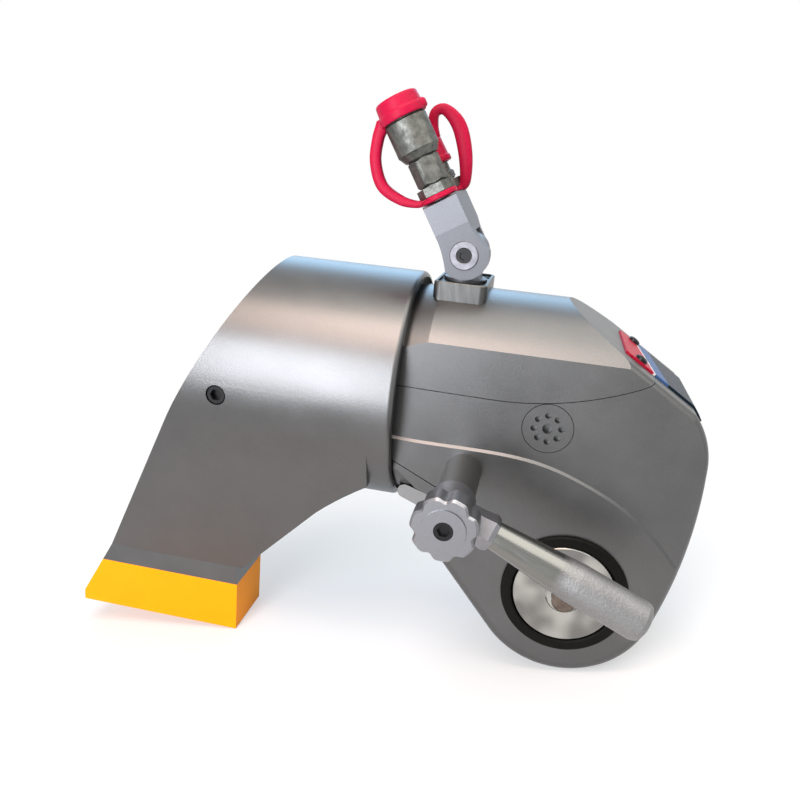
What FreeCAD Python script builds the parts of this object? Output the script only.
import FreeCAD, Part
import math
import os

# Hydraulic torque wrench with a square drive, a slide-on reaction arm and a tilting hose swivel.
# Millimetres and degrees. The wrench is drawn upright in its own frame: zero on the drive axis at the
# middle of the housing, X towards the drive end, Y from the retainer disc to the square drive, Z up.
# The last step leans it until it rests on its nose and foot, with zero at the root of the square.

V = FreeCAD.Vector
ALONG_X = V(1, 0, 0)
ALONG_Y = V(0, 1, 0)
ALONG_Z = V(0, 0, 1)

# Driving sizes of the mechanism
DRIVE_UP = 95.25            # cylinder axis above the drive axis
SWING = 27.0                # lever swing per stroke, half on each side of upright
TEETH = 40                  # ratchet teeth, so that one stroke is three teeth
RATCHET_TIP_R = 42.5
TOOTH_DEPTH = 2.6
RATCHET_HALF = 21.8         # half width of the toothed band
JOURNAL_R = 31.0            # ratchet journals that run in the bushings
BORE_R = 28.0               # cylinder bore
ROD_R = 18.0
PISTON_LEN = 20.0
PISTON_END_X = -177.0       # back of the piston when it is drawn in
SQUARE = 38.1               # square drive across its flats
SQUARE_LEN = 40.0
RUN = 0.05                  # radial clearance of a running fit
SEAT = 0.02                 # radial clearance of a seated fit inside one body
GAP = 0.3                   # clearance between bodies that do not bear on each other

# Driving sizes of the housing
BODY_HALF = 50.0            # half thickness over the side plates
CHEEK = 1.2                 # the cheek round the drive stands this proud of the side
PLATE_T = 12.0              # side plate thickness
SEAM = 0.4                  # open line round a side plate
TOP_R = 63.0                # rounded top, about the cylinder axis
NOSE_R = 52.0               # drive boss, about the drive axis
EDGE_R = 5.0                # softened edge of the nose and slope
SLOPE_TOP = (-8.0, 150.4)   # two points of the sloping nose top
SLOPE_FOOT = (51.5, 112.6)
NOSE_CREST = (62.4, 82.0)   # where the nose stands upright
NECK_FACE_X = -109.2        # shoulder that the reaction arm seats on
NECK_TAPER_X = -92.0
NECK_R = 60.5
SPLINE_R = 59.0
SPLINE_DEPTH = 2.5
SPLINE_COUNT = 36
SPLINE_END_X = -188.0
LEVER_RING_R = 43.0         # lever plates round the ratchet journal
LEVER_PLATE_IN = 22.4       # inner face of a lever plate
LEVER_PLATE_OUT = 37.4
HOOK_PIN_R = 9.0
HOOK_BOSS_R = 14.0
PAWL_PIVOT = (-51.0, 8.0)   # reaction pawl shaft
PAWL_SHAFT_R = 4.5
PAWL_BOSS_R = 7.5
PLUG_R = 13.9               # access plug over the hook pin
RING_R = 35.6               # black ring round the retainer disc
DISC_R = 29.4               # retainer disc
POST_AT = (-64.7, 64.0)     # handle post
POST_R = 10.1
POST_LEN = 41.0
STUD_R = 6.0

# Driving sizes of the reaction arm
COLLAR_R = 68.2
COLLAR_X = -104.6           # face of the collar, towards the housing
COLLAR_MOUTH_R = 65.0
ARM_BACK_TOP = (-187.1, 164.0)
ARM_BACK_FOOT = (-320.5, -82.0)
FOOT_BOTTOM = -89.0
FOOT_RIGHT_X = -207.8
FOOT_HALF = 21.5            # half width of the foot, across Y
FOOT_LAND = 47.0            # height of the foot's upright faces
LOCK_X = -204.6             # arm lock screw
LOCK_DROP = 3.0             # below the cylinder axis
END_BOSS_R = 24.0           # end boss of the cylinder, inside the arm

# Driving sizes of the handle
HANDLE_TILT = -23.3         # bar direction, from the post
HEAD_R = 11.6
HEAD_LEN = 20.3
BAR_ROOT_R = 7.3
GRIP_R = 10.5
BAR_END = 109.5             # from the post to the end of the grip
KNOB_R = 16.4
KNOB_THICK = 14.0

# Driving sizes of the hose swivel
SWIVEL_X = -80.9
PIN_Z = 178.0
SWIVEL_TILT = -31.0         # manifold from upright, towards the arm
SADDLE_LEN = 30.0
SADDLE_WIDTH = 52.0
SADDLE_TOP = 163.1
WELL_DEPTH = 1.8            # sunk well in the top of the saddle
EAR_HALF = 23.2             # half width of the fork at the pin
EAR_R = 13.6                # round end of the fork
EAR_BACK = 16.0             # rear cheek of the fork, narrower and shorter
EAR_BACK_R = 10.4
TONGUE_HALF = 10.5
TONGUE_R = 11.2
TONGUE_NECK = 8.5
MANIFOLD_HALF = 9.9         # half width across the hose direction
MANIFOLD_DEEP = 24.5        # half width along the pin
MANIFOLD_TOP = 33.0         # above the pin, along the manifold
PORT_Y = 16.5               # each coupler to the middle plane
PIN_R = 6.0
PIN_HEAD_R = 7.9
PIN_SCREW_R = 4.1
PIN_HEAD = 3.7              # head of the pin, sunk 3 mm
PIN_SEATS = (-EAR_HALF + 3.0, EAR_BACK - 3.0)
NECK_PIPE_R = 7.0           # coupler neck under the lock nut
NIPPLE_R = 7.4
SLEEVE_END_R = 10.6
STRAP_THICK = 3.4
SADDLE_SCREWS = [(SWIVEL_X + along, side) for along in (-9.8, 9.8) for side in (-21.0, 21.0)]

# Sizes that follow from those above
HOOK_R = DRIVE_UP / math.cos(math.radians(SWING / 2))
REST_LEAN = SWING / 2
STROKE = 2 * HOOK_R * math.sin(math.radians(SWING / 2))
HOOK_AT = (-STROKE / 2, DRIVE_UP)
PLATE_IN = BODY_HALF - PLATE_T
PITCH = 360.0 / TEETH
ROOT_R = RATCHET_TIP_R - TOOTH_DEPTH
PISTON_FRONT_X = PISTON_END_X + PISTON_LEN
SLOPE_LEAN = math.degrees(math.atan2(SLOPE_TOP[1] - SLOPE_FOOT[1], SLOPE_FOOT[0] - SLOPE_TOP[0]))
NOSE_ARC_R = math.dist(SLOPE_FOOT, NOSE_CREST) ** 2 / (2 * (NOSE_CREST[0] - SLOPE_FOOT[0]))
NOSE_ARC_AT = (NOSE_CREST[0] - NOSE_ARC_R, NOSE_CREST[1])
POST_FRONT_Y = -(BODY_HALF + CHEEK + POST_LEN)
BAR_Y = POST_FRONT_Y - GAP - HEAD_LEN / 2
KNOB_BACK_Y = POST_FRONT_Y - 2 * GAP - HEAD_LEN
KNOB_FRONT_Y = KNOB_BACK_Y - KNOB_THICK
LOCK_Z = DRIVE_UP - LOCK_DROP


def outline(start, *steps):
    """Closed face in the XZ plane. A step is a corner (x, z), or (through, end) for an arc."""
    edges = []
    here = start
    for step in steps + (start,):
        if isinstance(step[0], tuple):
            through, end = step
            edges.append(Part.Arc(V(here[0], 0, here[1]), V(through[0], 0, through[1]),
                                  V(end[0], 0, end[1])).toShape())
        else:
            end = step
            if math.dist(here, end) > 1e-6:
                edges.append(Part.makeLine(V(here[0], 0, here[1]), V(end[0], 0, end[1])))
        here = end
    return Part.Face(Part.Wire(edges))


def link(one, one_r, two, two_r):
    """Two discs joined by their outer tangents."""
    base = math.atan2(two[1] - one[1], two[0] - one[0])
    lean = math.acos((one_r - two_r) / math.dist(one, two))

    def rim(centre, radius, angle):
        return (centre[0] + radius * math.cos(angle), centre[1] + radius * math.sin(angle))

    return outline(rim(one, one_r, base - lean), rim(two, two_r, base - lean),
                   (rim(two, two_r, base), rim(two, two_r, base + lean)),
                   rim(one, one_r, base + lean),
                   (rim(one, one_r, base + math.pi), rim(one, one_r, base - lean)))


def across(face, near, far):
    """Solid from a face of the XZ plane, from Y = near to Y = far."""
    moved = face.copy()
    moved.translate(V(0, near, 0))
    return moved.extrude(V(0, far - near, 0))


def rod_x(y, z, radius, near, far):
    return Part.makeCylinder(radius, far - near, V(near, y, z), ALONG_X)


def rod_y(x, z, radius, near, far):
    return Part.makeCylinder(radius, far - near, V(x, near, z), ALONG_Y)


def rod_z(x, y, radius, low, high):
    return Part.makeCylinder(radius, high - low, V(x, y, low), ALONG_Z)


def block(low, high):
    size = V(*high) - V(*low)
    return Part.makeBox(size.x, size.y, size.z, V(*low))


def turned(shape, at, degrees, axis=ALONG_Y):
    """Copy turned about an axis through a point (x, y, z)."""
    copy = shape.copy()
    copy.rotate(V(*at), axis, degrees)
    return copy


def moved(shape, x=0.0, y=0.0, z=0.0):
    copy = shape.copy()
    copy.translate(V(x, y, z))
    return copy


def mirrored(shape):
    """Copy on the other side of the middle plane."""
    return shape.mirror(V(0, 0, 0), ALONG_Y)


def joined(shapes):
    first = shapes[0]
    return first.fuse(shapes[1:]).removeSplitter() if len(shapes) > 1 else first


def spun(profile, at, axis):
    """Solid of revolution. The profile is a list of (radius, height along the axis)."""
    points = [V(radius, 0, height) for radius, height in profile]
    face = Part.Face(Part.makePolygon(points + [points[0]]))
    solid = face.revolve(V(0, 0, 0), ALONG_Z, 360)
    solid.Placement = FreeCAD.Placement(V(*at), FreeCAD.Rotation(ALONG_Z, axis))
    return solid


def edges_where(shape, test):
    return [edge for edge in shape.Edges if test(edge)]


def hex_bar(flats, low, high):
    """Hexagon of the given width across flats, along Z."""
    radius = flats / math.sqrt(3)
    points = [V(radius * math.cos(math.radians(60 * i)), radius * math.sin(math.radians(60 * i)), low)
              for i in range(7)]
    return Part.Face(Part.makePolygon(points)).extrude(V(0, 0, high - low))


def cap_screw(radius, length, socket):
    """Socket head screw along +Z, its seat at zero and its shank below."""
    head = spun([(0, 0), (1.5 * radius, 0), (1.5 * radius, 1.7 * radius), (1.3 * radius, 2 * radius),
                 (0, 2 * radius)], (0, 0, 0), ALONG_Z)
    shank = rod_z(0, 0, radius, -length, 0)
    return joined([head, shank]).cut(hex_bar(socket, radius, 2 * radius + 1))


def aimed(shape, at, axis):
    """Copy of a shape drawn along +Z, set at a point and turned to an axis."""
    copy = shape.copy()
    copy.Placement = FreeCAD.Placement(V(*at), FreeCAD.Rotation(ALONG_Z, axis))
    return copy


# Housing

def nose_point(degrees, rise=0.0):
    """Point of the nose arc, at an angle from level, above it by a rise."""
    reach = NOSE_ARC_R + rise
    angle = math.radians(degrees)
    return (NOSE_ARC_AT[0] + reach * math.cos(angle), NOSE_ARC_AT[1] + reach * math.sin(angle))


def housing_profile():
    """Side view of the housing: slope, rounded nose, drive boss, left flank and neck underside."""
    rise = SLOPE_TOP[0] - (DRIVE_UP + TOP_R + 2 - SLOPE_TOP[1]) / math.tan(math.radians(SLOPE_LEAN))
    boss_end = (NOSE_R * math.cos(math.radians(-17.5)), NOSE_R * math.sin(math.radians(-17.5)))
    boss_start = (NOSE_R * math.cos(math.radians(220.4)), NOSE_R * math.sin(math.radians(220.4)))
    return outline((NECK_FACE_X, DRIVE_UP + TOP_R + 2), (rise, DRIVE_UP + TOP_R + 2), SLOPE_FOOT,
                   (nose_point(20.0), NOSE_CREST), ((60.0, 30.0), boss_end),
                   ((0.0, -NOSE_R), boss_start), (-76.8, 10.0),
                   ((-80.3, 17.5), (-78.4, 29.0)), (-71.7, 41.3), (-91.0, 49.2), (NECK_FACE_X, 64.6))


def cheek_line(drop):
    """Upper edge of the proud cheek, lowered by a drop."""
    return [(-112.0, 78.6 - drop), (-57.0, 77.9 - drop), (-21.0, 74.8 - drop), (5.0, 66.0 - drop),
            (25.0 - drop / 2, 56.0 - drop), (44.5 - drop / 2, 40.4 - drop), (72.0, 2.0)]


def above_cheek():
    """Stock milled off each side above the cheek, with a sloping edge that catches the light."""
    rims = []
    for y, drop in ((BODY_HALF, 0.0), (BODY_HALF + CHEEK + 0.8, 2.4)):
        curve = Part.BSplineCurve()
        curve.interpolate([V(x, y, z) for x, z in cheek_line(drop)])
        low = cheek_line(drop)[-1][1]
        corners = [V(72.0, y, low), V(90.0, y, low), V(90.0, y, 170.0), V(-112.0, y, 170.0),
                   V(-112.0, y, cheek_line(drop)[0][1])]
        sides = [Part.makeLine(a, b) for a, b in zip(corners, corners[1:])]
        rims.append(Part.Wire([curve.toShape()] + sides))
    tool = Part.makeLoft(rims, True, True)
    return [tool, mirrored(tool)]


def housing_envelope():
    """The outer form of the housing, side plates included."""
    half = BODY_HALF + CHEEK
    body = across(housing_profile(), -half, half)

    def is_nose_edge(edge):
        middle = edge.CenterOfMass
        return abs(abs(middle.y) - half) < 0.1 and middle.x > -66 and middle.z < 150

    body = body.makeFillet(EDGE_R + CHEEK, edges_where(body, is_nose_edge))
    for tool in above_cheek():
        body = body.cut(tool)
    rounding = rod_x(0, DRIVE_UP, TOP_R, NECK_FACE_X - 1, 80)
    rounding = rounding.fuse(block((NECK_FACE_X - 1, -60, -60), (80, 60, DRIVE_UP)))
    body = body.common(rounding)
    slab = block((NECK_FACE_X, -half, 0), (-72, half, 170))
    neck = rod_x(0, DRIVE_UP, TOP_R, NECK_FACE_X, -72).common(slab)
    for tool in above_cheek():
        neck = neck.cut(tool)
    body = body.fuse(neck)
    taper = spun([(TOP_R + 20, NECK_TAPER_X), (TOP_R, NECK_TAPER_X), (NECK_R, COLLAR_X),
                  (NECK_R, NECK_FACE_X - 1),
                 (TOP_R + 20, NECK_FACE_X - 1)], (0, 0, DRIVE_UP), ALONG_X)
    taper = taper.common(block((-120, -90, DRIVE_UP), (0, 90, 200)))
    step = spun([(TOP_R + 20, COLLAR_X), (NECK_R, COLLAR_X), (NECK_R, NECK_FACE_X - 1),
                 (TOP_R + 20, NECK_FACE_X - 1)],
                (0, 0, DRIVE_UP), ALONG_X)
    step = step.common(block((-120, -90, 0), (0, 90, DRIVE_UP)))
    return body.cut(taper).cut(step)


def plate_zone(shrink):
    """Side view of a side plate, below its seams, with the seams drawn in by a gap."""
    low = -BODY_HALF - 30
    return outline((NECK_FACE_X - 5, 107.6 - shrink), (-55.0, 107.0 - shrink),
                   ((-20.0, 110.2 - shrink), (21.7, 124.0 - shrink)), (75.0, 157.0 - shrink),
                   (90.0, low), (-84.0 + shrink, low), (-84.0 + shrink, 34.0), (-76.0 + shrink, 42.0),
                   (-78.5 + shrink, 51.0 + shrink),
                   (NECK_FACE_X - 5, 67.7 + shrink))


def side_plate(envelope):
    """Front side plate with its bushing, plug and screw holes. The rear one mirrors it."""
    zone = across(plate_zone(SEAM), -BODY_HALF - 5, -PLATE_IN)
    plate = envelope.common(zone)
    plate = plate.cut(rod_y(0, 0, RING_R, -60, 0))
    plate = plate.cut(rod_y(*HOOK_AT, PLUG_R, -60, -BODY_HALF + 6))
    plate = plate.cut(rod_y(*HOOK_AT, PLUG_R - 1.8, -60, 0))
    return plate


SCREWS_AT = [(-90.5, DRIVE_UP - 24.5), (-79.5, DRIVE_UP - 37.5), (49.0, 79.0), (50.5, 42.0)]
SCREW_R = 3.0


def side_plate_front(envelope):
    plate = side_plate(envelope)
    plate = plate.cut(rod_y(*POST_AT, STUD_R, -60, 0))
    for x, z in SCREWS_AT:
        plate = plate.cut(rod_y(x, z, SCREW_R, -BODY_HALF + 3, 0))
    return plate


def side_plate_rear(envelope):
    plate = mirrored(side_plate(envelope))
    plate = plate.cut(rod_y(*POST_AT, STUD_R, 0, 60))
    for x, z in SCREWS_AT:
        plate = plate.cut(rod_y(x, z, SCREW_R + 0.2, 0, 60))
        plate = plate.cut(rod_y(x, z, 1.5 * SCREW_R + 0.4, BODY_HALF - 6.5, 60))
    return plate


def plate_screws():
    length = 2 * BODY_HALF - 3.5 - 6.5
    screw = cap_screw(SCREW_R - 0.02, length, 5.0)
    return Part.makeCompound([aimed(screw, (x, BODY_HALF - 6.5, z), ALONG_Y) for x, z in SCREWS_AT])


def toothed_ring(radius, depth, count, near, far):
    """Straight splines along X about the cylinder axis."""
    points = []
    pitch = 2 * math.pi / count
    for i in range(count):
        for share, reach in ((-0.21, 0), (-0.13, depth), (0.13, depth), (0.21, 0)):
            angle = (i + share) * pitch
            out = radius - depth + reach
            points.append(V(near, out * math.sin(angle), DRIVE_UP + out * math.cos(angle)))
    face = Part.Face(Part.makePolygon(points + [points[0]]))
    return face.extrude(V(far - near, 0, 0))


def lever_space():
    """Room that the lever sweeps through."""
    left = (-STROKE / 2, DRIVE_UP)
    right = (STROKE / 2, DRIVE_UP)
    ring = LEVER_RING_R + 0.6
    boss = HOOK_BOSS_R + 1.2
    crown = (0.0, HOOK_R)
    half = PLATE_IN
    room = across(link((0, 0), ring, left, boss), -half, half)
    for face in (link((0, 0), ring, right, boss), link(left, boss, crown, boss),
                 link(crown, boss, right, boss), outline((0, 0), left, crown, right)):
        room = room.fuse(across(face, -half, half))
    return room


def eye_outline(grow, travel):
    """Side view of the rod eye, longer by its travel and larger by a clearance."""
    radius = HOOK_BOSS_R + 0.5 + grow
    tip = HOOK_AT[0] + travel
    low = DRIVE_UP
    high = DRIVE_UP + 3.2
    back = HOOK_AT[0] - 40 - grow
    return outline((back, low - radius), (tip, low - radius), ((tip + radius, low), (tip + radius, low + 0.2)),
                   (tip + radius, high),
                   ((tip + radius * 0.7071, high + radius * 0.7071), (tip, high + radius)),
                   (back, high + radius))


def pawl_space():
    """Room for the reaction pawl and its finger lever, from engaged to released."""
    at = (PAWL_PIVOT[0], 0, PAWL_PIVOT[1])
    shoe = across(link(PAWL_PIVOT, PAWL_BOSS_R + 0.8, PAWL_SHOE_AT, PAWL_SHOE_R + 0.8), -22.2, 22.2)
    reach = finger(0.8, -PLATE_IN - 0.01, -27.4)
    rooms = []
    for share in (0.0, 0.33, 0.66, 1.0):
        turn = share * (REACTION_LIFT + RELEASE_TURN)
        rooms.append(turned(shoe, at, -turn))
        rooms.append(turned(reach, at, REACTION_LIFT - turn))
    return rooms[0].fuse(rooms[1:])


def housing_body(envelope):
    """The casting: everything but the side plates, with the cylinder in its splined spigot."""
    body = envelope.copy()
    zone = across(plate_zone(0.0), -BODY_HALF - 5, -PLATE_IN)
    body = body.cut(zone).cut(mirrored(zone))
    splines = toothed_ring(SPLINE_R, SPLINE_DEPTH, SPLINE_COUNT, SPLINE_END_X, NECK_FACE_X)
    chamfer = spun([(SPLINE_R + 9, -4), (SPLINE_R - 3, -4), (SPLINE_R - 3, 0), (SPLINE_R + 1, 4.5),
                    (SPLINE_R + 9, 4.5)], (SPLINE_END_X, 0, DRIVE_UP), ALONG_X)
    body = body.fuse(splines.cut(chamfer))
    body = body.cut(rod_x(0, DRIVE_UP, BORE_R, SPLINE_END_X - 5, -94))
    body = body.cut(rod_x(0, DRIVE_UP, 32, SPLINE_END_X - 5, -178))
    body = body.cut(rod_x(0, DRIVE_UP, ROD_R + 0.6, -100, -30))
    body = body.cut(across(eye_outline(0.7, STROKE), -22.3, 22.3))
    body = body.cut(lever_space())
    body = body.cut(pawl_space())
    body = body.cut(rod_y(*PAWL_PIVOT, PAWL_SHAFT_R + RUN, -PLATE_IN, PLATE_IN))
    for x, z in SCREWS_AT:
        body = body.cut(rod_y(x, z, SCREW_R + 0.2, -60, 60))
    body = body.cut(saddle_holes())
    body = body.cut(nose_recess())
    return body.removeSplitter()


def saddle_holes():
    """Spindle hole of the turret and the tapped holes of the saddle."""
    holes = [rod_z(x, y, 2.02, DRIVE_UP + 45, 170) for x, y in SADDLE_SCREWS]
    return joined_tools([rod_z(SWIVEL_X, 0, 6.0 + RUN, 150, 170)] + holes)


def joined_tools(tools):
    return tools[0].fuse(tools[1:])


def on_slope(shape):
    """Sets a shape drawn flat on the slope: X down the slope from its top, Z out of the face."""
    frame = FreeCAD.Placement(V(SLOPE_TOP[0], 0, SLOPE_TOP[1]), FreeCAD.Rotation(ALONG_Y, SLOPE_LEAN))
    copy = shape.copy()
    copy.Placement = frame.multiply(copy.Placement)
    return copy


NOSE_PLATE_AT = 24.0        # top end of the nose plate, down the slope
NOSE_PLATE_END = 27.5       # low end, as an angle on the nose arc
NOSE_PLATE_HALF = 30.0
NOSE_PLATE_SUNK = 0.8
NOSE_PLATE_OUT = 1.2
NOSE_SCREWS = [(34.0, -24.0), (34.0, 24.0)]


def down_slope(along, rise=0.0):
    """Point of the slope, a way down from its top, above it by a rise."""
    lean = math.radians(SLOPE_LEAN)
    return (SLOPE_TOP[0] + along * math.cos(lean) + rise * math.sin(lean),
            SLOPE_TOP[1] - along * math.sin(lean) + rise * math.cos(lean))


def bend(rise):
    """Point where the slope gives way to the nose arc, above both by a rise."""
    lean = math.radians(SLOPE_LEAN)
    out = (SLOPE_TOP[0] - NOSE_ARC_AT[0]) * math.sin(lean) + (SLOPE_TOP[1] - NOSE_ARC_AT[1]) * math.cos(lean)
    turn = math.degrees(math.acos((out + rise) / (NOSE_ARC_R + rise)))
    return nose_point(90.0 - SLOPE_LEAN - turn, rise)


def nose_skin(low, high, grow, half):
    """Sheet that follows the slope and the nose, between two rises."""
    top = NOSE_PLATE_AT - grow
    end = NOSE_PLATE_END - math.degrees(grow / NOSE_ARC_R)
    sheet = outline(down_slope(top, high), bend(high), (nose_point(end + 5, high), nose_point(end, high)),
                    nose_point(end, low), (nose_point(end + 5, low), bend(low)), down_slope(top, low))
    return across(sheet, -half - grow, half + grow)


def nose_recess():
    holes = [rod_z(x, y, 1.98, -10, 2) for x, y in NOSE_SCREWS]
    room = nose_skin(-NOSE_PLATE_SUNK, 6.0, GAP, NOSE_PLATE_HALF)
    return room.fuse([on_slope(hole) for hole in holes])


def nose_plate():
    """Thin plate screwed to the slope and bent over the nose."""
    plate = nose_skin(-NOSE_PLATE_SUNK, NOSE_PLATE_OUT, 0.0, NOSE_PLATE_HALF)
    thick = NOSE_PLATE_SUNK + NOSE_PLATE_OUT
    plate = plate.makeFillet(3.0, edges_where(plate, lambda e: abs(e.Length - thick) < 0.01))
    for x, y in NOSE_SCREWS:
        plate = plate.cut(on_slope(rod_z(x, y, 2.1, -3, 3)))
    return plate


def nose_screws():
    """Low round heads on the nose plate."""
    screw = spun([(0, -9), (1.96, -9), (1.96, 0), (3.6, 0), (3.4, 1.5), (2.2, 2.1), (0, 2.1)],
                 (0, 0, 0), ALONG_Z)
    screw = screw.cut(hex_bar(2.5, 0.9, 3))
    return Part.makeCompound([on_slope(moved(screw, x, y, NOSE_PLATE_OUT)) for x, y in NOSE_SCREWS])


def access_plug():
    """Screwed plug over the hook pin, with a ring of spanner holes."""
    plug = rod_y(*HOOK_AT, PLUG_R - 0.35, -BODY_HALF - 0.05, -BODY_HALF + 6)
    for i in range(8):
        angle = math.radians(45 * i + 5)
        plug = plug.cut(rod_y(HOOK_AT[0] + 7.3 * math.cos(angle), HOOK_AT[1] + 7.3 * math.sin(angle), 1.8,
                              -BODY_HALF - 1, -BODY_HALF + 3.5))
    return plug.cut(rod_y(*HOOK_AT, 2.9, -BODY_HALF - 1, -BODY_HALF + 5))


def drive_bushing():
    """Bronze bushing of the ratchet journal, in the front side plate."""
    ring = rod_y(0, 0, RING_R - SEAT, -BODY_HALF + 4, -PLATE_IN)
    return ring.cut(rod_y(0, 0, JOURNAL_R + RUN, -60, 0))


def drive_seal():
    """Black ring between the side plate and the retainer disc."""
    outer = RING_R - SEAT
    inner = DISC_R + GAP
    return spun([(inner, 4), (outer, 4), (outer, 10.8), (outer - 0.8, 11.5), (inner + 0.8, 11.5),
                 (inner, 10.8)],
                (0, -BODY_HALF + 8, 0), -ALONG_Y)


def end_cap():
    """Screwed end of the cylinder, with the grooved boss that the arm lock enters."""
    groove = LOCK_X - SPLINE_END_X
    boss = END_BOSS_R
    return spun([(0, -25), (boss - 1.5, -25), (boss, -23.5), (boss, groove - 4.3), (boss - 3, groove - 1.8),
                 (boss - 3, groove + 1.8), (boss, groove + 4.3), (boss, 0), (32 - SEAT, 0),
                 (32 - SEAT, 10), (0, 10)], (SPLINE_END_X, 0, DRIVE_UP), ALONG_X).cut(cap_holes())


def cap_holes():
    """Two spanner holes in the end boss."""
    return joined_tools([rod_x(side * 14.0, DRIVE_UP, 3.0, SPLINE_END_X - 30, SPLINE_END_X - 15)
                         for side in (-1, 1)])


def rod_gland():
    """Gland ring that seals the rod at the front of the cylinder."""
    ring = rod_x(0, DRIVE_UP, BORE_R - SEAT, -108, -94.02)
    ring = ring.cut(rod_x(0, DRIVE_UP, ROD_R + RUN, -120, -80))
    return ring.cut(rod_x(0, DRIVE_UP, ROD_R + 2.5, -104, -100))


def rod_seal():
    ring = rod_x(0, DRIVE_UP, ROD_R + 2.45, -103.9, -100.1)
    return ring.cut(rod_x(0, DRIVE_UP, ROD_R + RUN, -120, -80))


def handle_post():
    """Post of the handle, with a stub screwed into the side plate and a stud for the head and knob."""
    side = BODY_HALF + CHEEK
    x, z = POST_AT
    end = side + KNOB_FRONT_Y
    return spun([(0, -10), (STUD_R - SEAT, -10), (STUD_R - SEAT, 0), (POST_R, 0), (POST_R, POST_LEN - 0.8),
                 (POST_R - 0.8, POST_LEN), (STUD_R, POST_LEN), (STUD_R, -end - 3.3), (0, -end - 3.3)],
                (x, -side, z), -ALONG_Y)


# Piston, rod and lever

def piston():
    groove = PISTON_LEN / 2
    return spun([(0, 0), (BORE_R - 0.06, 0), (BORE_R - 0.06, groove - 3), (BORE_R - 4, groove - 3),
                 (BORE_R - 4, groove + 3), (BORE_R - 0.06, groove + 3), (BORE_R - 0.06, PISTON_LEN),
                 (0, PISTON_LEN)],
                (PISTON_END_X, 0, DRIVE_UP), ALONG_X)


def piston_seal():
    start = PISTON_END_X + PISTON_LEN / 2 - 2.9
    ring = rod_x(0, DRIVE_UP, BORE_R - RUN, start, start + 5.8)
    return ring.cut(rod_x(0, DRIVE_UP, BORE_R - 3.95, start - 1, start + 8))


def piston_rod():
    back = HOOK_AT[0] - 40
    rod = rod_x(0, DRIVE_UP, ROD_R, PISTON_FRONT_X, back)
    return rod.fuse(rod_x(0, DRIVE_UP, 10, back, back + 15))


def rod_eye():
    """Eye that pushes the hook pin. Its upright slot takes up the rise of the pin."""
    eye = across(eye_outline(0.0, 0.0), -21.8, 21.8)
    slot_r = HOOK_PIN_R + 0.25
    rise = HOOK_R - DRIVE_UP
    x = HOOK_AT[0]
    slot = outline((x - slot_r, DRIVE_UP), ((x, DRIVE_UP - slot_r), (x + slot_r, DRIVE_UP)),
                   (x + slot_r, DRIVE_UP + rise),
                   ((x, DRIVE_UP + rise + slot_r), (x - slot_r, DRIVE_UP + rise)))
    eye = eye.cut(across(slot, -30, 30))
    return eye.cut(rod_x(0, DRIVE_UP, 10 + SEAT, x - 50, x - 40 + 15.3))


def leaned(shape):
    """Copy of a lever piece, from upright to its place when the piston is drawn in."""
    return turned(shape, (0, 0, 0), -REST_LEAN)


BLOCK_TOP_R = DRIVE_UP - HOOK_BOSS_R - 5.25
BLOCK_HALF = 20.5
POCKET_HALF = 10.65
POCKET_TOP_R = 60.0
LEVER_PIN_R = 3.5
LEVER_PIN_AT = [(-15.6, 66.0), (15.6, 66.0)]


def lever_plate():
    """Rear lever plate: ring on the ratchet journal, arm up to the hook pin."""
    plate = across(link((0, 0), LEVER_RING_R, (0, HOOK_R), HOOK_BOSS_R), LEVER_PLATE_IN, LEVER_PLATE_OUT)
    plate = plate.cut(rod_y(0, 0, JOURNAL_R + RUN, 0, 60))
    plate = plate.cut(rod_y(0, HOOK_R, HOOK_PIN_R + SEAT, 0, 60))
    for at in LEVER_PIN_AT:
        plate = plate.cut(rod_y(*at, LEVER_PIN_R + SEAT, 0, 60))
    return leaned(plate)


def lever_block():
    """Block between the lever plates, with the pocket that guides the drive pawl."""
    ring = rod_y(0, 0, BLOCK_TOP_R, -LEVER_PLATE_IN, LEVER_PLATE_IN)
    ring = ring.cut(rod_y(0, 0, RATCHET_TIP_R + 0.6, -30, 30))
    body = ring.common(block((-BLOCK_HALF, -30, 30), (BLOCK_HALF, 30, 90)))
    body = body.cut(block((-POCKET_HALF, -30, 0), (POCKET_HALF, 30, POCKET_TOP_R)))
    for at in LEVER_PIN_AT:
        body = body.cut(rod_y(*at, LEVER_PIN_R + SEAT, -30, 30))
    return leaned(body)


def lever_pins():
    return Part.makeCompound([leaned(rod_y(*at, LEVER_PIN_R, -LEVER_PLATE_OUT + 0.2, LEVER_PLATE_OUT - 0.2))
                              for at in LEVER_PIN_AT])


def hook_pin():
    pin = rod_y(*HOOK_AT, HOOK_PIN_R, -LEVER_PLATE_OUT, LEVER_PLATE_OUT)
    return pin.cut(rod_y(*HOOK_AT, 2.5, -LEVER_PLATE_OUT - 1, -LEVER_PLATE_OUT + 12))


# Ratchet, pawls and drive

def saw_teeth(half, grow=0.0, play=0.0):
    """Ratchet band. A tooth rises with the angle and drops at its steep face, which play moves on."""
    points = []
    later = play / PITCH
    for i in range(TEETH):
        for share, reach in ((later, later / 0.88), (0.88, 1.0), (0.96 + later, 1.0)):
            angle = math.radians((i + share - 0.5) * PITCH)
            radius = ROOT_R + reach * TOOTH_DEPTH + grow
            points.append(V(radius * math.cos(angle), -half, radius * math.sin(angle)))
    return Part.Face(Part.makePolygon(points + [points[0]])).extrude(V(0, 2 * half, 0))


DRIVE_BORE_R = 22.0
DRIVE_SPLINES = 18


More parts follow.
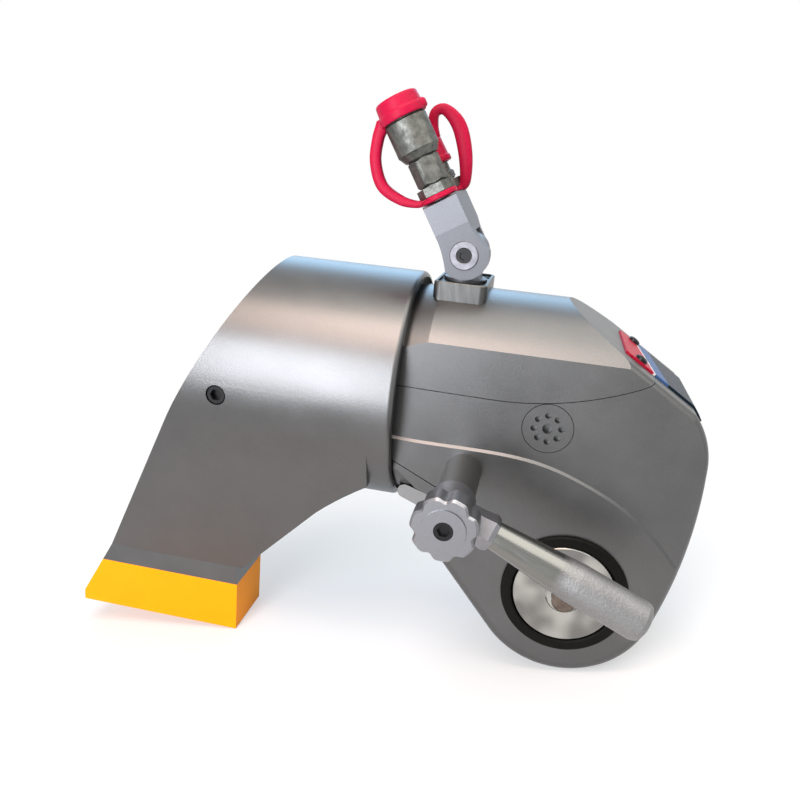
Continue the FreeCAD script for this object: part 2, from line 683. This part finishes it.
def drive_spline(radius, depth, near, far):
    """Rounded-off spline of the square drive, along Y."""
    points = []
    pitch = 2 * math.pi / DRIVE_SPLINES
    for i in range(DRIVE_SPLINES):
        for share, reach in ((-0.22, 0), (-0.14, depth), (0.14, depth), (0.22, 0)):
            angle = (i + share) * pitch
            out = radius - depth + reach
            points.append(V(out * math.cos(angle), near, out * math.sin(angle)))
    return Part.Face(Part.makePolygon(points + [points[0]])).extrude(V(0, far - near, 0))


def ratchet():
    """Toothed band with a journal on each side and a splined bore."""
    body = saw_teeth(RATCHET_HALF)
    body = body.fuse(rod_y(0, 0, JOURNAL_R, -BODY_HALF + 4.2, BODY_HALF - 4.2))
    return body.cut(drive_spline(DRIVE_BORE_R + 0.1, 2.0, -60, 60))


PAWL_LIFT = TOOTH_DEPTH + 0.25
FLANK_PLAY = 1.0            # play of a pawl on the steep faces, in degrees
REACTION_LIFT = 9.0         # turn that lifts the reaction pawl clear of the crests
RELEASE_TURN = 3.0          # further turn by the finger lever
PAWL_SHOE_AT = (-35.0, 25.9)
PAWL_TOOTH_END = 150.5      # direction from the drive axis where the pawl's teeth end
PAWL_SHOE_R = 8.0
FINGER_ROOT_R = 7.6
FINGER_BEND = (-79.8, 33.4)
FINGER_BEND_R = 4.9
FINGER_TIP = (-98.8, 39.8)
FINGER_TIP_R = 4.2


def toothed(blank):
    """Cuts a pawl's teeth to the ratchet, with play on the steep faces."""
    return blank.cut(saw_teeth(40, 0.15, FLANK_PLAY))


def drive_pawl():
    """Shoe with three teeth that slides in the lever's pocket. Drawn engaged, then lifted."""
    half = POCKET_HALF - 0.15
    blank = block((-half, -RATCHET_HALF, 36), (half, RATCHET_HALF, 53.5))
    blank = toothed(leaned(blank))
    hole = leaned(rod_z(0, 0, 6.0, 46.5, 60))
    lifted = blank.cut(hole)
    lean = math.radians(REST_LEAN)
    return moved(lifted, -PAWL_LIFT * math.sin(lean), 0, PAWL_LIFT * math.cos(lean))


def coil(radius, wire, length, turns):
    """Closed-end coil spring along +Z."""
    path = Part.makeHelix((length - wire) / turns, length - wire, radius)
    ring = Part.Wire(Part.makeCircle(wire / 2, V(radius, 0, 0), ALONG_Y))
    spring = Part.Wire(path).makePipeShell([ring], True, True)
    return moved(spring, 0, 0, wire / 2)


def drive_pawl_spring():
    base = 46.5 + PAWL_LIFT
    return leaned(moved(coil(4.6, 1.2, POCKET_TOP_R - base - 0.1, 4), 0, 0, base + 0.05))


def reaction_pawl():
    """Pawl that holds the ratchet between strokes. Drawn engaged, then lifted about its shaft."""
    shoe = across(link(PAWL_PIVOT, PAWL_BOSS_R, PAWL_SHOE_AT, PAWL_SHOE_R), -RATCHET_HALF, RATCHET_HALF)
    shoe = toothed(shoe)
    beyond = turned(block((-80, -40, -80), (0, 40, 0)), (0, 0, 0), 180 - PAWL_TOOTH_END)
    shoe = shoe.cut(rod_y(0, 0, RATCHET_TIP_R + 0.5, -40, 40).common(beyond))
    shoe = shoe.cut(rod_y(*PAWL_PIVOT, PAWL_SHAFT_R + SEAT, -40, 40))
    return turned(shoe, (PAWL_PIVOT[0], 0, PAWL_PIVOT[1]), -REACTION_LIFT)


def pawl_shaft():
    return rod_y(*PAWL_PIVOT, PAWL_SHAFT_R, -PLATE_IN + GAP, PLATE_IN - GAP)


def finger(grow, near, far):
    """Bent finger from the pawl shaft out under the neck, larger by a clearance."""
    root = across(link(PAWL_PIVOT, FINGER_ROOT_R + grow, FINGER_BEND, FINGER_BEND_R + grow), near, far)
    reach = link(FINGER_BEND, FINGER_BEND_R + grow, FINGER_TIP, FINGER_TIP_R + grow)
    return root.fuse(across(reach, near, far))


def release_lever():
    """Finger lever on the pawl shaft."""
    lever = finger(0.0, -PLATE_IN + 0.6, -28.2).removeSplitter()
    return lever.cut(rod_y(*PAWL_PIVOT, PAWL_SHAFT_R + SEAT, -60, 0))


def square_drive():
    """Splined shaft with a flange and the square."""
    root = BODY_HALF + 3
    shaft = drive_spline(DRIVE_BORE_R, 2.0, -BODY_HALF + 5.0, BODY_HALF - 4)
    flange = rod_y(0, 0, DISC_R, BODY_HALF - 4, root)
    half = SQUARE / 2
    square = block((-half, root, -half), (half, root + SQUARE_LEN, half))
    square = square.makeFillet(3.2, edges_where(square, lambda e: abs(e.Length - SQUARE_LEN) < 0.01))
    end = edges_where(square, lambda e: abs(e.CenterOfMass.y - root - SQUARE_LEN) < 0.01)
    square = square.makeChamfer(1.6, end)
    body = joined([shaft, flange, square])
    body = body.cut(rod_x(root + SQUARE_LEN / 2, 0, 4.25, -60, 60))
    return body.cut(rod_y(0, 0, 8.0, -60, -BODY_HALF + 17))


def drive_retainer():
    """Polished disc that holds the drive in the ratchet, with a stub in the shaft."""
    face = BODY_HALF + 3
    disc = spun([(0, 0), (DISC_R, 0), (DISC_R, 6.0), (DISC_R - 1.0, 7.0), (10.4, 7.0), (10.4, 8.6),
                 (9.4, 9.6), (0, 9.6)], (0, -face + 7.0, 0), -ALONG_Y)
    disc = disc.fuse(rod_y(0, 0, 7.8, -face + 7, -face + 19))
    return disc.cut(rod_y(0, 0, 5.0, -80, 0)).cut(rod_y(0, 0, 7.0, -80, -face + 5.5))


def release_button():
    """Push button in the middle of the disc."""
    face = BODY_HALF + 3
    return spun([(0, 0), (4.9, 0), (4.9, 10.3), (6.85, 10.3), (6.85, 19.2), (5.8, 20.2), (0, 20.7)],
                (0, -face + 11.9, 0), -ALONG_Y)


def button_spring():
    """Two spring washers, coned and joined at their rims, which push the button out."""
    face = BODY_HALF + 3
    return spun([(5.3, 0.02), (6.7, 1.6), (6.7, 2.28), (5.3, 3.86), (5.3, 3.1), (6.1, 2.2), (6.1, 1.68), (5.3, 0.78)],
                (0, -face + 5.5, 0), -ALONG_Y)


# Reaction arm

def tangent_from(point, centre, radius):
    """Point where a line from a point touches a circle, on the side of larger first value."""
    away = math.dist(point, centre)
    base = math.atan2(point[1] - centre[1], point[0] - centre[0])
    lean = math.acos(radius / away)
    return (centre[0] + radius * math.cos(base + lean), centre[1] + radius * math.sin(base + lean))


def arm_body():
    """Splined collar with a tapering leg down to the foot, cut off slanting at the back."""
    back = outline(ARM_BACK_TOP, (COLLAR_X, ARM_BACK_TOP[1]), (COLLAR_X, FOOT_BOTTOM),
                   (ARM_BACK_FOOT[0], FOOT_BOTTOM), ARM_BACK_FOOT)
    collar = rod_x(0, DRIVE_UP, COLLAR_R, -330, COLLAR_X)
    edge = edges_where(collar, lambda e: abs(e.CenterOfMass.x - COLLAR_X) < 0.1 and e.Length > 100
                       and len(e.Vertexes) == 1)
    collar = collar.makeFillet(3.0, edge)
    collar = collar.common(across(back, -90, 90))
    tangent = tangent_from((FOOT_HALF, FOOT_BOTTOM + FOOT_LAND), (0, DRIVE_UP), COLLAR_R)
    section = [(-FOOT_HALF, FOOT_BOTTOM), (FOOT_HALF, FOOT_BOTTOM), (FOOT_HALF, FOOT_BOTTOM + FOOT_LAND),
               tangent, (tangent[0], DRIVE_UP), (-tangent[0], DRIVE_UP), (-tangent[0], tangent[1]),
               (-FOOT_HALF, FOOT_BOTTOM + FOOT_LAND)]
    points = [V(-340, y, z) for y, z in section]
    taper = Part.Face(Part.makePolygon(points + [points[0]])).extrude(V(250, 0, 0))
    side = outline(ARM_BACK_TOP, (-118.0, 150.0), (-118.0, 46.0), ((-135.5, 32.6), (-150.0, 19.4)),
                   (-204.5, -41.7), (FOOT_RIGHT_X, FOOT_BOTTOM + FOOT_LAND), (FOOT_RIGHT_X, FOOT_BOTTOM),
                   (ARM_BACK_FOOT[0], FOOT_BOTTOM), ARM_BACK_FOOT)
    leg = across(side, -90, 90).common(taper)
    body = collar.fuse(leg).removeSplitter()
    bore = toothed_ring(SPLINE_R + GAP, SPLINE_DEPTH, SPLINE_COUNT, SPLINE_END_X - 1.5, COLLAR_X + 1)
    body = body.cut(bore)
    body = body.cut(rod_x(0, DRIVE_UP, COLLAR_MOUTH_R, NECK_FACE_X - GAP, COLLAR_X + 1))
    body = body.cut(rod_x(0, DRIVE_UP, END_BOSS_R + 0.4, -330, -180))
    return body.cut(lock_bore())


def lock_bore():
    """Threaded hole of the lock screw, through the collar wall to the end boss."""
    return rod_y(LOCK_X, LOCK_Z, 5.8, -COLLAR_R - 5, -20)


def arm_lock_screw():
    """Screw with a hexagon socket. Its point enters the groove of the end boss."""
    start = -END_BOSS_R - 0.7
    length = COLLAR_R - 0.6 + start
    return spun([(0, 0), (2.0, 0), (5.75, 3.6), (5.75, length - 0.8), (5.0, length), (0, length)],
                (LOCK_X, start, LOCK_Z), -ALONG_Y).cut(lock_socket())


def lock_socket():
    socket = hex_bar(6.0, 0, 6.0)
    return aimed(socket, (LOCK_X, -COLLAR_R + 4.6, LOCK_Z), -ALONG_Y)


# Handle

def handle_axis():
    """Direction of the bar, as a vector."""
    lean = math.radians(HANDLE_TILT)
    return V(math.cos(lean), 0, math.sin(lean))


def handle_head():
    """Eye on the post with a faceted neck for the bar."""
    x, z = POST_AT
    eye = spun([(0, 0), (HEAD_R - 1.0, 0), (HEAD_R, 1.0), (HEAD_R, HEAD_LEN - 0.8), (HEAD_R - 0.8, HEAD_LEN),
                (0, HEAD_LEN)], (x, POST_FRONT_Y - GAP, z), -ALONG_Y)
    neck = []
    for reach, half in ((5.0, 8.2), (16.0, 8.8), (22.0, 9.8), (24.6, 8.6)):
        corners = [math.radians(60 * i + 30) for i in range(6)]
        points = [V(half * math.cos(angle), half * math.sin(angle), reach) for angle in corners]
        neck.append(Part.makePolygon(points + [points[0]]))
    facets = Part.makeLoft(neck, True, True)
    facets = aimed(facets, (x, BAR_Y, z), handle_axis())
    body = eye.fuse(facets).removeSplitter()
    return body.cut(rod_y(x, z, STUD_R + RUN, -150, 0))


def handle_bar():
    """Bar that thickens into a rough grip with a softened end."""
    return spun([(0, 24.7), (BAR_ROOT_R, 24.7), (GRIP_R - 0.9, 59.0), (GRIP_R, 70.0), (GRIP_R, BAR_END - 3.4),
                 (GRIP_R - 0.9, BAR_END - 1.0), (GRIP_R - 2.6, BAR_END), (0, BAR_END)],
                (POST_AT[0], BAR_Y, POST_AT[1]), handle_axis())


def star_knob():
    """Knob with seven broad lobes, softened rims and a raised round boss."""
    x, z = POST_AT
    rims = []
    for rise, scale in ((0.0, 0.93), (1.4, 1.0), (KNOB_THICK - 1.4, 1.0), (KNOB_THICK, 0.93)):
        points = []
        for i in range(7):
            for share, dip in ((-0.27, 0.25), (0.0, 0.0), (0.27, 0.25), (0.5, 2.0)):
                angle = 2 * math.pi * (i + share) / 7 + 0.267
                reach = scale * (KNOB_R - dip)
                points.append(V(x + reach * math.cos(angle), KNOB_FRONT_Y + rise,
                                z + reach * math.sin(angle)))
        curve = Part.BSplineCurve()
        curve.interpolate(points, True)
        rims.append(Part.Wire(curve.toShape()))
    knob = Part.makeLoft(rims, True, True)
    knob = knob.fuse(rod_y(x, z, 10.6, KNOB_FRONT_Y - 0.8, KNOB_FRONT_Y + 2))
    knob = knob.cut(rod_y(x, z, STUD_R + RUN, KNOB_FRONT_Y + 3.0, 0))
    return knob.cut(rod_y(x, z, 4.75, -150, 0))


def knob_screw():
    """Black socket screw sunk in the middle of the knob."""
    x, z = POST_AT
    screw = rod_y(x, z, 4.7, KNOB_FRONT_Y - 0.3, KNOB_FRONT_Y + 2.9)
    return screw.cut(aimed(hex_bar(5.5, 0, 3.0), (x, KNOB_FRONT_Y + 1.7, z), -ALONG_Y))


# Hose swivel

def swivel_base():
    """Saddle screwed to the rounded top, with a shallow well for the turret."""
    half_x = SADDLE_LEN / 2
    half_y = SADDLE_WIDTH / 2
    saddle = block((SWIVEL_X - half_x, -half_y, 140), (SWIVEL_X + half_x, half_y, SADDLE_TOP))
    saddle = saddle.makeFillet(4.0, edges_where(saddle, lambda e: abs(e.Length - SADDLE_TOP + 140) < 0.01))
    rim = edges_where(saddle, lambda e: abs(e.CenterOfMass.z - SADDLE_TOP) < 0.01)
    saddle = saddle.makeChamfer(0.6, rim)
    saddle = saddle.cut(rod_x(0, DRIVE_UP, TOP_R + SEAT, -150, 50))
    floor = SADDLE_TOP - WELL_DEPTH
    rim = 1.8
    well = block((SWIVEL_X - half_x + rim, -half_y + rim, floor),
                 (SWIVEL_X + half_x - rim, half_y - rim, floor + 9))
    well = well.makeFillet(2.5, edges_where(well, lambda e: abs(e.Length - 9) < 0.01))
    saddle = saddle.cut(well)
    saddle = saddle.cut(rod_z(SWIVEL_X, 0, 6.0 + RUN, 140, 170))
    for x, y in SADDLE_SCREWS:
        saddle = saddle.cut(rod_z(x, y, 2.2, 140, 170))
    return saddle


def saddle_screws():
    """Four low screws in the well of the saddle."""
    screw = joined([rod_z(0, 0, 2.0, -9, 0), rod_z(0, 0, 3.0, 0, 0.6)])
    floor = SADDLE_TOP - WELL_DEPTH
    return Part.makeCompound([moved(screw, x, y, floor) for x, y in SADDLE_SCREWS])


def swivel_turret():
    """Tongue that carries the pivot pin and turns in the saddle."""
    floor = SADDLE_TOP - WELL_DEPTH + GAP
    disc = rod_z(SWIVEL_X, 0, 12.4, floor, SADDLE_TOP + GAP)
    head = rod_y(SWIVEL_X, PIN_Z, TONGUE_R, -TONGUE_HALF, TONGUE_HALF)
    neck = block((SWIVEL_X - TONGUE_NECK, -TONGUE_HALF, SADDLE_TOP),
                 (SWIVEL_X + TONGUE_NECK, TONGUE_HALF, PIN_Z))
    tongue = head.fuse(neck).common(rod_z(SWIVEL_X, 0, 18.6, SADDLE_TOP + GAP, 200))
    spindle = rod_z(SWIVEL_X, 0, 6.0, 152.0, floor)
    body = joined([tongue, spindle, disc])
    return body.cut(rod_y(SWIVEL_X, PIN_Z, PIN_R + RUN, -60, 60))


def swivel_pin():
    """Pivot pin through the fork, with a flat ring and a sunk screw seat at each end."""
    pin = rod_y(SWIVEL_X, PIN_Z, PIN_R, *PIN_SEATS)
    hole = PIN_SCREW_R + SEAT
    for seat in PIN_SEATS:
        head = spun([(0, 0), (PIN_HEAD_R, 0), (PIN_HEAD_R, PIN_HEAD - 0.4), (PIN_HEAD_R - 0.4, PIN_HEAD),
                     (hole + 0.4, PIN_HEAD), (hole, PIN_HEAD - 0.4), (hole, PIN_HEAD - 2.6),
                      (0, PIN_HEAD - 2.6)],
                    (SWIVEL_X, seat, PIN_Z), V(0, seat, 0))
        pin = pin.fuse(head)
    return tilted(pin)


def pin_screws():
    """Black socket screw in each end of the pivot pin."""
    screws = []
    for seat in PIN_SEATS:
        screw = rod_z(0, 0, PIN_SCREW_R, PIN_HEAD - 2.6, PIN_HEAD - 0.7)
        screw = screw.cut(hex_bar(4.6, PIN_HEAD - 1.9, 5.0))
        screws.append(tilted(aimed(screw, (SWIVEL_X, seat, PIN_Z), V(0, seat, 0))))
    return Part.makeCompound(screws)


def tilted(shape):
    """Copy of a swivel piece drawn upright, tilted about the pivot pin to its place."""
    return turned(shape, (SWIVEL_X, 0, PIN_Z), SWIVEL_TILT)


def fork_half(radius, near, far):
    """Part of the manifold's outline, pulled from one depth to another, with its own round end."""
    x, z = SWIVEL_X, PIN_Z
    half = MANIFOLD_HALF
    top = z + MANIFOLD_TOP
    waist = half + 0.3 * (radius - half)
    side = radius * math.cos(math.radians(14))
    low = z - radius * math.sin(math.radians(14))
    face = outline((x - half, top), (x - half, z + 12.4), ((x - waist, z + 4.8), (x - side, low)),
                   ((x, z - radius), (x + side, low)), ((x + waist, z + 4.8), (x + half, z + 12.4)),
                   (x + half, top))
    return across(face, near, far)


def swivel_manifold():
    """Fork over the turret, with the two hose ports in its top."""
    x, z = SWIVEL_X, PIN_Z
    deep = MANIFOLD_DEEP
    body = joined([fork_half(EAR_R, -deep, 0.0), fork_half(EAR_BACK_R, 0.0, deep)])
    rims = edges_where(body, lambda e: abs(abs(e.CenterOfMass.y) - deep) < 0.1
                       and e.CenterOfMass.z > z + MANIFOLD_TOP - 1)
    body = body.makeChamfer(1.2, rims)
    draft = (deep - EAR_HALF) / 16.0
    flanks = [[(-deep, z + 16.0), (-deep + 36.0 * draft, z - 20.0), (-40.0, z - 20.0), (-40.0, z + 16.0)],
              [(deep, z + 16.0), (EAR_BACK, z + 9.0), (EAR_BACK, z - 20.0), (40.0, z - 20.0),
               (40.0, z + 16.0)]]
    for flank in flanks:
        points = [V(x - 30, y, height) for y, height in flank]
        body = body.cut(Part.Face(Part.makePolygon(points + [points[0]])).extrude(V(60, 0, 0)))
    for seat in PIN_SEATS:
        body = body.cut(rod_y(x, z, PIN_HEAD_R + SEAT, *sorted((seat, 3 * seat))))
    for side_y in (-1, 1):
        body = body.cut(rod_z(x, side_y * PORT_Y, 5.5, z + 21, z + 60))
    slot = block((x - 30, -TONGUE_HALF - GAP, z - 20), (x + 30, TONGUE_HALF + GAP, z + 10))
    slot = slot.fuse(rod_y(x, z, TONGUE_R + 1.0, -TONGUE_HALF - GAP, TONGUE_HALF + GAP))
    body = body.cut(slot)
    return tilted(body.cut(rod_y(x, z, PIN_R + SEAT, -60, 60)))


def at_port(shape, side_y):
    """Copy of a coupler piece drawn about the pin, moved to its port and tilted."""
    return tilted(moved(shape, SWIVEL_X, side_y * PORT_Y, PIN_Z))


def coupler_body(side_y):
    """Screw-in end, lock nut seat, hexagon and nose of a coupler."""
    low = MANIFOLD_TOP
    flats, start, end, top = (16.3, 9.0, 24.0, 52.0) if side_y < 0 else (16.0, 9.0, 14.0, 31.0)
    corner = flats / 2 + 0.75
    stub = rod_z(0, 0, 5.45, low - 10, low)
    neck = rod_z(0, 0, NECK_PIPE_R, low, low + start)
    hexagon = turned(hex_bar(flats, low + start, low + end), (0, 0, 0), 15, ALONG_Z)
    hexagon = hexagon.common(spun([(0, low + start), (corner - 1.0, low + start), (corner, low + start + 1.0),
                                   (corner, low + end - 1.0), (corner - 1.0, low + end), (0, low + end)],
                                  (0, 0, 0), ALONG_Z))
    nose = rod_z(0, 0, NIPPLE_R, low + end, low + top)
    body = joined([stub, neck, hexagon, nose])
    return at_port(body.cut(rod_z(0, 0, 3.0, low - 11, low + 60)), side_y)


def lock_nuts():
    """Hexagon nuts under both couplers."""
    nut = hex_bar(18.5, MANIFOLD_TOP + 3.5, MANIFOLD_TOP + 8.4).cut(rod_z(0, 0, NECK_PIPE_R + SEAT, 30, 60))
    return Part.makeCompound([at_port(nut, side) for side in (-1, 1)])


def coupler_sleeve():
    """Turning sleeve of the front coupler, with a smaller end that the cap covers."""
    low = MANIFOLD_TOP + 24.3
    hole = NIPPLE_R + RUN
    sleeve = spun([(hole, low), (9.3, low), (9.7, low + 0.5), (11.2, low + 3.2), (11.9, low + 4.2),
                   (11.9, low + 20.9), (11.1, low + 21.7), (SLEEVE_END_R, low + 21.7),
                   (SLEEVE_END_R, low + 28.0), (SLEEVE_END_R - 0.7, low + 28.7), (hole, low + 28.7)], (0, 0, 0), ALONG_Z)
    return at_port(sleeve, -1)


def dust_cap(side_y):
    """Soft cap over a coupler, with a rolled rim."""
    sizes = (SLEEVE_END_R, 12.5, 46.3, 12.2) if side_y < 0 else (NIPPLE_R, 10.0, 19.0, 14.6)
    inside, outer, low, tall = sizes
    inner = inside + GAP
    low = MANIFOLD_TOP + low
    top = low + tall
    cap = spun([(inner, low), (outer + 0.6, low), (outer + 0.9, low + 1.6), (outer, low + 3.0),
                (outer, top - 1.5), (outer - 1.5, top), (0, top), (0, top - 2.4), (inner, top - 2.4)],
               (0, 0, 0), ALONG_Z)
    return at_port(cap, side_y)


def strap(side_y, points, ring_low):
    """Soft tether: a ring round the coupler's neck and a band that loops up to the cap."""
    ring = rod_z(0, 0, 10.4, ring_low, ring_low + 2.7).cut(rod_z(0, 0, NECK_PIPE_R + GAP, 0, 90))
    curve = Part.BSplineCurve()
    curve.interpolate([V(x, 0, z) for x, z in points])
    path = Part.Wire(curve.toShape())
    start = curve.tangent(curve.FirstParameter)[0]
    section = Part.Wire(Part.makeCircle(STRAP_THICK / 2, V(points[0][0], 0, points[0][1]), start))
    band = path.makePipeShell([section], True, True)
    return at_port(ring.fuse(band), side_y)


def pieces():
    """Every piece by its name, in the upright frame."""
    envelope = housing_envelope()
    front_loop = [(-9.0, 34.75), (-13.8, 35.2), (-21.7, 40.0), (-28.6, 52.5), (-25.0, 67.5), (-16.2, 78.4)]
    rear_loop = [(9.0, 34.75), (13.8, 35.6), (19.4, 48.0), (23.0, 64.0), (20.5, 76.5), (13.5, 79.8), (8.0, 75.5),
                 (6.0, 70.0)]
    plug = access_plug()
    bushing = drive_bushing()
    seal = drive_seal()
    lever = lever_plate()
    return {
        "housing_body": housing_body(envelope),
        "side_plate_front": side_plate_front(envelope),
        "side_plate_rear": side_plate_rear(envelope),
        "plate_screws": plate_screws(),
        "nose_plate": nose_plate(),
        "nose_plate_screws": nose_screws(),
        "access_plug_front": plug,
        "access_plug_rear": mirrored(plug),
        "drive_bushing_front": bushing,
        "drive_bushing_rear": mirrored(bushing),
        "drive_seal_front": seal,
        "drive_seal_rear": mirrored(seal),
        "cylinder_end_cap": end_cap(),
        "rod_gland": rod_gland(),
        "rod_seal": rod_seal(),
        "handle_post": handle_post(),
        "piston": piston(),
        "piston_seal": piston_seal(),
        "piston_rod": piston_rod(),
        "rod_eye": rod_eye(),
        "lever_plate_rear": lever,
        "lever_plate_front": mirrored(lever),
        "lever_block": lever_block(),
        "lever_pins": lever_pins(),
        "hook_pin": hook_pin(),
        "drive_pawl": drive_pawl(),
        "drive_pawl_spring": drive_pawl_spring(),
        "reaction_pawl": reaction_pawl(),
        "pawl_shaft": pawl_shaft(),
        "release_lever": release_lever(),
        "ratchet": ratchet(),
        "square_drive": square_drive(),
        "drive_retainer": drive_retainer(),
        "release_button": release_button(),
        "button_spring": button_spring(),
        "reaction_arm": arm_body(),
        "arm_lock_screw": arm_lock_screw(),
        "handle_head": handle_head(),
        "handle_bar": handle_bar(),
        "star_knob": star_knob(),
        "knob_screw": knob_screw(),
        "swivel_base": swivel_base(),
        "swivel_base_screws": saddle_screws(),
        "swivel_turret": swivel_turret(),
        "swivel_pin": swivel_pin(),
        "swivel_pin_screws": pin_screws(),
        "swivel_manifold": swivel_manifold(),
        "coupler_body_front": coupler_body(-1),
        "coupler_body_rear": coupler_body(1),
        "coupler_lock_nuts": lock_nuts(),
        "coupler_sleeve": coupler_sleeve(),
        "dust_cap_front": dust_cap(-1),
        "dust_cap_rear": dust_cap(1),
        "cap_strap_front": strap(-1, front_loop, 33.4),
        "cap_strap_rear": strap(1, rear_loop, 33.4),
    }


def rest_lean():
    """Angle that brings the nose and the inner edge of the foot to one level."""
    away = math.hypot(FOOT_RIGHT_X, FOOT_BOTTOM)
    return math.degrees(math.asin(NOSE_R / away)) + math.degrees(math.atan2(FOOT_BOTTOM, -FOOT_RIGHT_X))


def placed(shape):
    """Leans a piece to rest on the floor, with zero at the root of the square."""
    copy = turned(shape, (0, 0, 0), -rest_lean())
    copy.translate(V(0, -BODY_HALF - 3, 0))
    return copy


os.makedirs("parts", exist_ok=True)
for name, shape in pieces().items():
    ready = placed(shape)
    ready.exportStep("parts/%s.step" % name)
    state = "" if ready.isValid() else "NOT VALID"
    print("%-22s %2d solid %9.1f mm3 %s" % (name, len(ready.Solids), ready.Volume, state))
print("rest lean %.3f, stroke %.3f, hook radius %.3f" % (rest_lean(), STROKE, HOOK_R))
